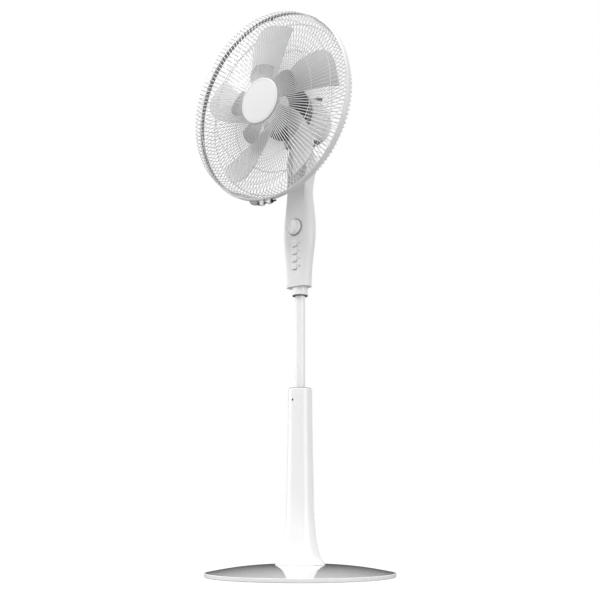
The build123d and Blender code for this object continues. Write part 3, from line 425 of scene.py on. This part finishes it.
# Printed marks. A scale of short lines round the knob and a plain sign beside each key, pad printed in grey
# on the housing's front. Each is laid on the shell and stands a tenth of a millimetre proud.
# A sign is given by its place across and up, its width and its height, in millimetres.
MM = 0.001
MARK_LIGHT = (0.2, 0.2, 0.205, 1.0)
MARK_DARK = (0.15, 0.15, 0.155, 1.0)
MARK_RISE = 0.1
MARK_THICKNESS = 0.2
KNOB_Z = 753.0
SCALE_R = 23.2
SCALE_TURNS = range(-150, 151, 30)
SCALE_LINE = (0.7, 2.2)
KEY_Z = {"off": 714.4, "low": 697.0, "middle": 679.6, "high": 662.2}
SIGN_X = 14.6
PAIR_LEFT_X = SIGN_X - 1.1
DOT_RIGHT_X = SIGN_X + 1.3
BAR_RIGHT_X = SIGN_X + 1.1
TICK = (2.4, 0.8)
SQUARE = (1.6, 1.6)
DASH = (3.6, 1.0)
DOT = (1.5, 1.5)
BAR = (1.0, 4.2)
SIGNS = [
    (-SIGN_X, KEY_Z["off"], *TICK),
    (SIGN_X, KEY_Z["off"], *SQUARE),
    (SIGN_X, KEY_Z["low"], *DASH),
    (PAIR_LEFT_X, KEY_Z["middle"], *DOT),
    (DOT_RIGHT_X, KEY_Z["middle"], *DOT),
    (PAIR_LEFT_X, KEY_Z["high"], *BAR),
    (BAR_RIGHT_X, KEY_Z["high"], *BAR),
]
IN_FRONT_Y = -1.0
BACKWARDS = Vector((0.0, 1.0, 0.0))


def finished(name, bm, material, body, slot, *replaced, sharp=35.0):
    """Turns a bmesh into a piece on a body; sharp is the edge angle in degrees that stays crisp."""
    bmesh.ops.recalc_face_normals(bm, faces=bm.faces[:])
    mesh = bpy.data.meshes.new(name)
    bm.to_mesh(mesh)
    bm.free()
    mesh.shade_smooth()
    mesh.set_sharp_from_angle(angle=math.radians(sharp))
    mesh.materials.append(material)
    piece = bpy.data.objects.new(name, mesh)
    bpy.context.scene.collection.objects.link(piece)
    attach(piece, body)
    if replaced:
        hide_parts(*replaced)
    return piece


def printed_marks():
    """All marks as thin patches, laid on the front shell along the fan's axis."""
    bm = bmesh.new()
    patches = [(Matrix.Translation((x, 0.0, z)), width, height) for x, z, width, height in SIGNS]
    for turn in SCALE_TURNS:
        spoke = Matrix.Rotation(math.radians(turn), 4, "Y") @ Matrix.Translation((0.0, 0.0, SCALE_R))
        patches.append((Matrix.Translation((0.0, 0.0, KNOB_Z)) @ spoke, *SCALE_LINE))
    upright = Matrix.Rotation(math.radians(90.0), 4, "X")
    for place, width, height in patches:
        size = Matrix.Diagonal((width / 2.0, height / 2.0, 1.0, 1.0))
        bmesh.ops.create_grid(bm, x_segments=2, y_segments=4, size=1.0, matrix=place @ upright @ size)
    bmesh.ops.transform(bm, matrix=Matrix.Scale(MM, 4), verts=bm.verts[:])
    shell = nodes["housing_front"].data
    corners = [point.co for point in shell.vertices]
    skin = BVHTree.FromPolygons(corners, [face.vertices for face in shell.polygons])
    for point in bm.verts:
        landed = skin.ray_cast(Vector((point.co.x, IN_FRONT_Y, point.co.z)), BACKWARDS)[0]
        point.co.y = landed.y - MARK_RISE * MM
    made = bmesh.ops.extrude_face_region(bm, geom=bm.faces[:])["geom"]
    backs = [item for item in made if isinstance(item, bmesh.types.BMVert)]
    bmesh.ops.translate(bm, verts=backs, vec=(0.0, MARK_THICKNESS * MM, 0.0))
    return bm


mark_ink = moulded("mark_ink", MARK_LIGHT, MARK_DARK, gloss=(0.5, 0.6), cloud=60.0)
finished("printed_marks", printed_marks(), mark_ink, "stem", "dark_plastic")


# Tilt joint and swivel. A painted steel fork in the housing's top, a pin with its nut, the bracket that
# nods on it and the post that the head swings on.
BRACKET_LIGHT = (0.24, 0.24, 0.245, 1.0)
BRACKET_DARK = (0.19, 0.19, 0.195, 1.0)

bracket_paint = moulded("bracket_paint", BRACKET_LIGHT, BRACKET_DARK, gloss=(0.35, 0.5),
                        grain=(600.0, 0.00006), cloud=40.0)
pin_steel = drawn_metal("pin_steel", STEEL_LIGHT, STEEL_DARK, gloss=(0.2, 0.4), stretch=(60.0, 900.0, 900.0))
dress(bracket_paint, "neck_fork", "tilt_bracket", "motor_bracket")
dress(pin_steel, "tilt_pin")
dress(bright_steel, "swivel_post", "swing_link")


# Oscillation drive. A bronze worm wheel with its crank in a dark plastic gearbox, and a pull knob on top
# that takes it out of gear. The knob wears the dark plastic as painted shade, for the shadow under its cap.
BRONZE_LIGHT = (0.52, 0.36, 0.17, 1.0)
BRONZE_DARK = (0.38, 0.25, 0.11, 1.0)

sintered_bronze = drawn_metal("sintered_bronze", BRONZE_LIGHT, BRONZE_DARK, gloss=(0.35, 0.6),
                              stretch=(700.0, 700.0, 700.0))
dress(sintered_bronze, "oscillation_crank", "swivel_bush")
# The pull knob's dark is painted shade, standing in for the shadow under its cap.
dress(dark_plastic, "gearbox_case", "clutch_knob")


# Motor. A laminated stator with varnished copper windings between two die-cast shields, on ball bearings,
# under a dark front cover and a white rear pod with cooling slots.
ALLOY_LIGHT = (0.6, 0.6, 0.61, 1.0)
ALLOY_DARK = (0.48, 0.48, 0.49, 1.0)
COPPER_LIGHT = (0.62, 0.26, 0.1, 1.0)
COPPER_DARK = (0.3, 0.1, 0.035, 1.0)
SHEET_LIGHT = (0.42, 0.42, 0.44, 1.0)
SHEET_DARK = (0.16, 0.16, 0.17, 1.0)

die_cast = drawn_metal("die_cast", ALLOY_LIGHT, ALLOY_DARK, gloss=(0.42, 0.6),
                       stretch=(350.0, 350.0, 350.0), depth=0.00005)
windings = drawn_metal("windings", COPPER_LIGHT, COPPER_DARK, gloss=(0.25, 0.45),
                       stretch=(90.0, 2600.0, 90.0), depth=0.0002)
lamination = drawn_metal("lamination", SHEET_LIGHT, SHEET_DARK, gloss=(0.35, 0.55),
                         stretch=(20.0, 2000.0, 20.0), depth=0.0001)
shaft_steel = drawn_metal("shaft_steel", STEEL_LIGHT, STEEL_DARK, gloss=(0.15, 0.3),
                          stretch=(700.0, 60.0, 700.0))
dress(die_cast, "motor_front_shield", "motor_rear_shield", "motor_rotor")
dress(windings, "motor_windings")
dress(lamination, "motor_stator")
dress(shaft_steel, "motor_bearings", "motor_screws", "motor_shaft", "drive_pin")
dress(dark_plastic, "motor_front_cover", "grille_nut")
dress(housing_plastic, "motor_rear_cover")


# Blades. A five-bladed wheel in pale grey plastic with a smaller, darker five-bladed wheel in front of it, on
# one hub and held by a nut. The small wheel's darker grey is painted shade, for the shadow that the badge and
# the dense wires in front cast on it.
BLADE_LIGHT = (0.67, 0.67, 0.68, 1.0)
BLADE_DARK = (0.64, 0.64, 0.65, 1.0)
BLADE_GLOSS = (0.48, 0.58)
BLADE_SHINE = 0.3
# The small wheel's dark grey is painted shade for the shadow of the badge and the wires in front of it.
PETAL_PAINTED_SHADE_LIGHT = (0.24, 0.24, 0.25, 1.0)
PETAL_PAINTED_SHADE_DARK = (0.21, 0.21, 0.22, 1.0)

blade_plastic = moulded("blade_plastic", BLADE_LIGHT, BLADE_DARK, BLADE_GLOSS, cloud=7.0,
                        Specular_IOR_Level=BLADE_SHINE)
petal_painted_shade = moulded("petal_painted_shade", PETAL_PAINTED_SHADE_LIGHT, PETAL_PAINTED_SHADE_DARK, BLADE_GLOSS, Specular_IOR_Level=BLADE_SHINE)
dress(blade_plastic, "impeller", "spinner")
dress(petal_painted_shade, "inner_impeller")


# Guard cages. Round steel wires in white paint, each with a short bend at the rim, spot welded to hoops.
# The CAD wires have mitred corners, so both cages are made again here with bent ones.
WIRE_LIGHT = (0.74, 0.74, 0.74, 1.0)
WIRE_DARK = (0.69, 0.69, 0.695, 1.0)
AXIS_Z = 1013.0
WIRE_COUNT = 132
WIRE_R = 0.8
WIRE_SIDES = 6
BEND_STEPS = 4
FRONT_WIRE = {"rim": (210.4, 103.8), "corner": (207.5, 132.0), "middle": (44.0, 139.8), "bend": 6.0}
REAR_WIRE = {"rim": (210.4, 102.1), "corner": (203.5, 76.0), "middle": (54.0, 43.5), "bend": 9.0}
FAN_PLACE = Matrix.Translation((0.0, 0.0, AXIS_Z * MM)) @ Matrix.Rotation(math.radians(90.0), 4, "X")


def extruded(bm, edges, step):
    """Extrudes a ring of edges by a step and returns the new ring."""
    made = bmesh.ops.extrude_edge_only(bm, edges=edges)["geom"]
    moved = [item for item in made if isinstance(item, bmesh.types.BMVert)]
    bmesh.ops.translate(bm, verts=moved, vec=step)
    ring = set(moved)
    return [item for item in made if isinstance(item, bmesh.types.BMEdge) and set(item.verts) <= ring]


def cage_wires(shape):
    """All wires of one cage, in the fan's own frame: x is the radius and z points the way the fan blows."""
    rim, corner, middle = [Vector((r, 0.0, z)) for r, z in (shape["rim"], shape["corner"], shape["middle"])]
    side = (corner - rim).normalized()
    face = (middle - corner).normalized()
    turn = side.angle(face)
    cut = shape["bend"] * math.tan(turn / 2.0)
    axis = side.cross(face).normalized()
    centre = corner - side * cut + axis.cross(side) * shape["bend"]
    bm = bmesh.new()
    stand = Matrix.Translation(rim) @ side.to_track_quat("Z", "Y").to_matrix().to_4x4()
    bmesh.ops.create_circle(bm, segments=WIRE_SIDES, radius=WIRE_R, matrix=stand)
    ring = extruded(bm, bm.edges[:], corner - side * cut - rim)
    bent = bmesh.ops.spin(bm, geom=ring, cent=centre, axis=axis, angle=turn, steps=BEND_STEPS)["geom_last"]
    ring = [item for item in bent if isinstance(item, bmesh.types.BMEdge)]
    extruded(bm, ring, middle - corner - face * cut)
    bmesh.ops.holes_fill(bm, edges=bm.edges[:], sides=WIRE_SIDES)
    pitch = 2.0 * math.pi / WIRE_COUNT
    bmesh.ops.rotate(bm, verts=bm.verts[:], matrix=Matrix.Rotation(pitch / 2.0, 3, "Z"))
    bmesh.ops.spin(bm, geom=bm.verts[:] + bm.edges[:] + bm.faces[:], axis=(0.0, 0.0, 1.0),
                   angle=pitch * (WIRE_COUNT - 1), steps=WIRE_COUNT - 1, use_duplicate=True)
    bmesh.ops.transform(bm, matrix=FAN_PLACE @ Matrix.Scale(MM, 4), verts=bm.verts[:])
    return bm


wire_paint = moulded("wire_paint", WIRE_LIGHT, WIRE_DARK, gloss=(0.3, 0.42),
                     grain=(900.0, 0.00001), cloud=40.0)
dress(wire_paint, "front_grille_rims", "rear_grille_rims")
finished("front_cage", cage_wires(FRONT_WIRE), wire_paint, "head", "wire_paint", "front_grille_wires")
finished("rear_cage", cage_wires(REAR_WIRE), wire_paint, "head", "wire_paint", "rear_grille_wires")


# Guard ring. A split white band that clamps the two cages' rims together over a grey gasket, drawn tight by
# a black screw at the bottom, with a grey latch beside it and a hook at the top. The gasket is grey rubber,
# and its grey is also painted shade for the shadowed inside of the ring's channel.
# The gasket's grey is partly painted shade for the shadowed inside of the ring's channel.
GASKET_SHADE_LIGHT = (0.36, 0.36, 0.36, 1.0)
GASKET_SHADE_DARK = (0.3, 0.3, 0.3, 1.0)
CLIP_LIGHT = (0.36, 0.37, 0.365, 1.0)
CLIP_DARK = (0.32, 0.33, 0.325, 1.0)
RING_LIGHT = (0.78, 0.78, 0.78, 1.0)
RING_DARK = (0.75, 0.75, 0.755, 1.0)

ring_plastic = moulded("ring_plastic", RING_LIGHT, RING_DARK, gloss=(0.26, 0.36), cloud=12.0)
gasket_rubber_and_shade = moulded("gasket_rubber_and_shade", GASKET_SHADE_LIGHT, GASKET_SHADE_DARK, gloss=(0.6, 0.8),
                        grain=(900.0, 0.00005), cloud=30.0)
clip_plastic = moulded("clip_plastic", CLIP_LIGHT, CLIP_DARK, gloss=(0.4, 0.55),
                       grain=(1200.0, 0.00003), cloud=40.0)
dress(ring_plastic, "guard_ring")
dress(gasket_rubber_and_shade, "ring_gasket")
dress(black_steel, "ring_screw")
dress(clip_plastic, "guard_clips")


# Badge. The white disc at the middle of the front cage, slightly domed and left bare, clipped through the
# wires to a plate behind them.
BADGE_LIGHT = (0.75, 0.75, 0.75, 1.0)
BADGE_DARK = (0.72, 0.72, 0.725, 1.0)

badge_gloss = moulded("badge_gloss", BADGE_LIGHT, BADGE_DARK, gloss=(0.34, 0.42), cloud=6.0)
dress(badge_gloss, "badge")
